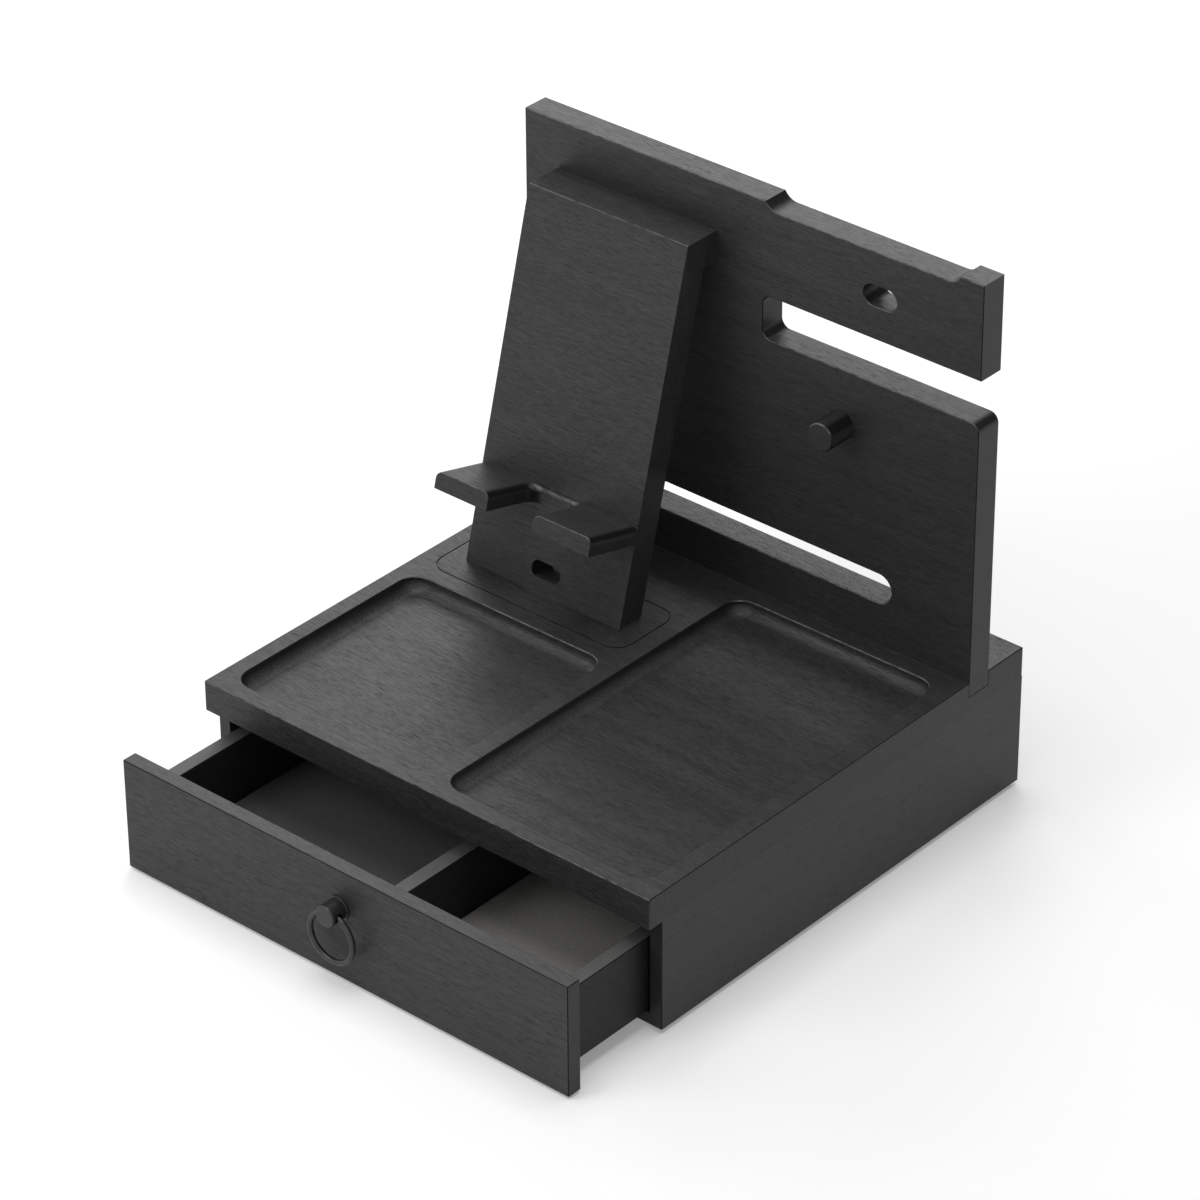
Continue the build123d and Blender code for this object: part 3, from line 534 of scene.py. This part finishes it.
def add_screw(mesh, seat, axis, diameter, length):
    """One countersunk wood screw: cross recess, coned head, plain neck and a helical thread."""
    side = axis.orthogonal().normalized()
    other = axis.cross(side)

    def put(x, y, depth):
        return mesh.verts.new(seat + side * x + other * y + axis * depth)

    def circle(radius, depth):
        turns = [2 * math.pi * i / SCREW_SIDES for i in range(SCREW_SIDES)]
        return [put(radius * math.cos(t), radius * math.sin(t), depth) for t in turns]

    def cross(shares, depth):
        reach, half_slot = (share * diameter for share in shares)
        return [put(x, y, depth) for x, y in cross_outline(reach, half_slot)]

    def close(loop, tip):
        for first, second in zip(loop, loop[1:] + loop[:1]):
            mesh.faces.new([first, second, tip])

    # Head, with its recess
    neck = diameter / 2
    core = SCREW_CORE * diameter
    cone = diameter - neck
    rim = SCREW_RIM * diameter
    rims = circle(diameter, rim)
    face = circle(diameter - rim, 0.0)
    join_loops(mesh, face, rims)
    recess = cross(RECESS_TOP, 0.0)
    edges = []
    for loop in (face, recess):
        for first, second in zip(loop, loop[1:] + loop[:1]):
            edges.append(mesh.edges.get((first, second)) or mesh.edges.new((first, second)))
    bmesh.ops.triangle_fill(mesh, use_beauty=True, edges=edges)
    bottom = cross(RECESS_BOTTOM, RECESS_DEPTH * diameter)
    join_loops(mesh, recess, bottom)
    close(bottom, put(0, 0, RECESS_TIP * diameter))

    # Neck, core and point
    neck_length = NECK_SHARE * (length - cone)
    levels = [
        rims,
        circle(neck, cone),
        circle(neck, cone + neck_length),
        circle(core, cone + neck_length + SCREW_SHOULDER * diameter),
        circle(core, length - diameter),
    ]
    for first, second in zip(levels, levels[1:]):
        join_loops(mesh, first, second)
    close(levels[-1], put(0, 0, length))

    # Thread, whose flanks run out at both ends
    pitch = THREAD_PITCH * diameter
    start = cone + THREAD_START * (length - cone)
    count = int((length - THREAD_TIP * diameter - start) / pitch * THREAD_STEPS)
    previous = None
    for i in range(count + 1):
        turn = 2 * math.pi * i / THREAD_STEPS
        depth = start + pitch * i / THREAD_STEPS
        tip_taper = min(1.0, (length - depth) / diameter)
        flank = (neck - core) * min(tip_taper, THREAD_FIRST_FLANK + i / THREAD_STEPS)
        root = max(0.0, core * tip_taper - THREAD_SINK * diameter)
        crest = core * tip_taper + flank
        profile = [(root, -HALF_ROOT), (crest, -HALF_CREST), (crest, HALF_CREST), (root, HALF_ROOT)]
        section = []
        for radius, rise in profile:
            section.append(put(radius * math.cos(turn), radius * math.sin(turn), depth + rise * pitch))
        if previous:
            join_loops(mesh, previous, section)
        else:
            mesh.faces.new(section)
        previous = section
    mesh.faces.new(previous[::-1])


def islands(node):
    """The points of each separate solid in a CAD node, from left to right."""
    mesh = bmesh.new()
    mesh.from_mesh(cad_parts[node].data)
    bmesh.ops.remove_doubles(mesh, verts=mesh.verts, dist=1e-6)
    left = set(mesh.verts)
    found = []
    while left:
        group, queue = [], [left.pop()]
        while queue:
            vertex = queue.pop()
            group.append(vertex.co.copy())
            for edge in vertex.link_edges:
                nearby = edge.other_vert(vertex)
                if nearby in left:
                    left.remove(nearby)
                    queue.append(nearby)
        found.append(group)
    mesh.free()
    return sorted(found, key=lambda points: round(min(p.x for p in points), 5))


def detailed_screws(name, node, axis, size, material):
    """Screws with thread and recess, each in the place of one solid of the CAD node."""
    axis = Vector(axis).normalized()
    diameter, length = (value * MM for value in size)
    mesh = bmesh.new()
    for points in islands(node):
        tip = max(points, key=lambda p: p.dot(axis))
        head = min(p.dot(axis) for p in points)
        add_screw(mesh, tip - axis * (tip.dot(axis) - head), axis, diameter, length)
    new_piece(name, mesh, material, "case", "screw_steel", node)


def chamfered_nut(name, node, material):
    """A hexagon nut whose corners are turned down to a cone on both faces."""
    low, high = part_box(node)
    centre = (low + high) / 2
    apothem = min(high.x - low.x, high.z - low.z) / 2
    corner = apothem / math.cos(math.pi / 6)
    height = high.y - low.y
    flat_first = math.pi / 6 if high.x - low.x > high.z - low.z else 0.0
    turns = [2 * math.pi * i / NUT_SIDES for i in range(NUT_SIDES)]
    mesh = bmesh.new()

    def hexagon(turn):
        inside = (turn + flat_first) % (math.pi / 3) - math.pi / 6
        return apothem / math.cos(inside)

    def loop(depth, radii):
        return [
            mesh.verts.new((centre.x + r * math.cos(t), low.y + depth, centre.z + r * math.sin(t)))
            for t, r in zip(turns, radii)
        ]

    limits = [
        (0.0, apothem * NUT_FACE_LIMIT),
        (NUT_CHAMFER / 2, apothem * NUT_MIDDLE_LIMIT),
        (NUT_CHAMFER, corner),
    ]
    limits += [(height - depth, limit) for depth, limit in reversed(limits)]
    loops = [loop(depth, [min(hexagon(t), limit) for t in turns]) for depth, limit in limits]
    loops += [loop(depth, [NUT_BORE] * NUT_SIDES) for depth in (height, 0.0)]
    for first, second in zip(loops, loops[1:] + loops[:1]):
        join_loops(mesh, first, second)
    new_piece(name, mesh, material, "drawer", "black_metal", node)


def finish_pieces():
    felt_sheet("left_felt", "left_lining", felt("black_nap", BLACK_NAP), seed=11)
    felt_sheet("right_felt", "right_lining", felt("grey_nap", GREY_NAP), seed=23)
    steel = zinc_steel("zinc_steel")
    back = (0, -1, 0)
    up = (0, 0, 1)
    out = (0, -math.cos(STAND_LEAN), math.sin(STAND_LEAN))
    detailed_screws("backboard_wood_screws", "backboard_screws", up, WIDE_SCREW, steel)
    detailed_screws("stand_foot_wood_screws", "stand_foot_screws", up, WIDE_SCREW, steel)
    detailed_screws("bottom_wood_screws", "bottom_screws", up, BOTTOM_SCREW, steel)
    dark = black_metal("black_screw_plating", SCREW_BLACK)
    detailed_screws("stand_head_wood_screws", "stand_head_screws", back, WIDE_SCREW, dark)
    detailed_screws("ledge_wood_screws", "ledge_screws", out, LEDGE_SCREW, dark)
    chamfered_nut("pull_hex_nut", "pull_nut", black_metal("black_nut_plating", NUT_BLACK))


def seen_amount(nodes):
    """1 for what the camera sees, straight, in gloss or through clear stuff, and 0 for plain light."""
    path = nodes.add("ShaderNodeLightPath")
    seen = nodes.math("MAXIMUM", path.outputs["Is Camera Ray"], path.outputs["Is Glossy Ray"])
    return nodes.math("MAXIMUM", seen, path.outputs["Is Transmission Ray"])


def make_floor():
    """A wide white floor, faintly uneven, that keeps the soft shadow and whitens with distance."""
    mesh = bmesh.new()
    bmesh.ops.create_grid(mesh, x_segments=FLOOR_CELLS, y_segments=FLOOR_CELLS, size=FLOOR_HALF_SIZE)
    data = bpy.data.meshes.new("floor")
    mesh.to_mesh(data)
    mesh.free()
    nodes = Nodes("floor_white")
    cloud = nodes.noise(nodes.place([FLOOR_CLOUD_SCALE] * 3), detail=2.0)
    shader = nodes.add("ShaderNodeBsdfDiffuse")
    nodes.link(nodes.mix(cloud, linear(238, 238, 238), linear(243, 243, 243)), shader.inputs["Color"])
    reach = nodes.add("ShaderNodeVectorMath", operation="LENGTH")
    nodes.link(nodes.place(), reach.inputs[0])
    lift = nodes.fit(reach.outputs["Value"], FLOOR_NEAR, FLOOR_FAR, FLOOR_LIFT_NEAR, FLOOR_LIFT_FAR)
    glow = nodes.add("ShaderNodeEmission")
    glow.inputs["Color"].default_value = WHITE
    nodes.link(nodes.math("MULTIPLY", seen_amount(nodes), lift), glow.inputs["Strength"])
    both = nodes.add("ShaderNodeAddShader")
    nodes.link(shader.outputs[0], both.inputs[0])
    nodes.link(glow.outputs[0], both.inputs[1])
    nodes.link(both.outputs[0], nodes.output.inputs["Surface"])
    data.materials.append(nodes.material)
    add_to_scene("floor", data)


def make_world():
    """Even studio light all round, plain white to the camera and in reflections."""
    world = bpy.data.worlds.new("studio")
    bpy.context.scene.world = world
    world.use_nodes = True
    tree = world.node_tree
    tree.nodes.clear()

    def either(first, second):
        node = tree.nodes.new("ShaderNodeMath")
        node.operation = "MAXIMUM"
        tree.links.new(first, node.inputs[0])
        tree.links.new(second, node.inputs[1])
        return node.outputs[0]

    path = tree.nodes.new("ShaderNodeLightPath")
    seen = either(path.outputs["Is Camera Ray"], path.outputs["Is Transmission Ray"])
    seen = either(seen, path.outputs["Is Glossy Ray"])
    strength = tree.nodes.new("ShaderNodeMapRange")
    tree.links.new(seen, strength.inputs["Value"])
    strength.inputs["To Min"].default_value = WORLD_LIGHT
    strength.inputs["To Max"].default_value = WORLD_SEEN
    background = tree.nodes.new("ShaderNodeBackground")
    background.inputs["Color"].default_value = WHITE
    tree.links.new(strength.outputs["Result"], background.inputs["Strength"])
    output = tree.nodes.new("ShaderNodeOutputWorld")
    tree.links.new(background.outputs[0], output.inputs["Surface"])


def make_lights():
    for name, lamp in LAMPS.items():
        data = bpy.data.lights.new(name, "AREA")
        data.shape = "RECTANGLE"
        data.size, data.size_y = lamp.size
        data.energy = lamp.power
        light = add_to_scene(name, data)
        light.location = lamp.place
        aim = Vector(LAMP_AIM) - Vector(lamp.place)
        light.rotation_euler = aim.to_track_quat("-Z", "Y").to_euler()


def make_camera():
    data = bpy.data.cameras.new("photo_camera")
    data.lens = CAMERA_LENS
    data.sensor_width = CAMERA_SENSOR
    data.clip_end = CAMERA_REACH
    camera = add_to_scene("photo_camera", data)
    camera.location = CAMERA_PLACE
    camera.rotation_euler = [math.radians(angle) for angle in CAMERA_TURN]
    bpy.context.scene.camera = camera


finish_boards()
finish_small_nodes()
finish_pieces()
make_floor()
make_world()
make_lights()
make_camera()
bpy.context.scene.view_settings.view_transform = "Standard"
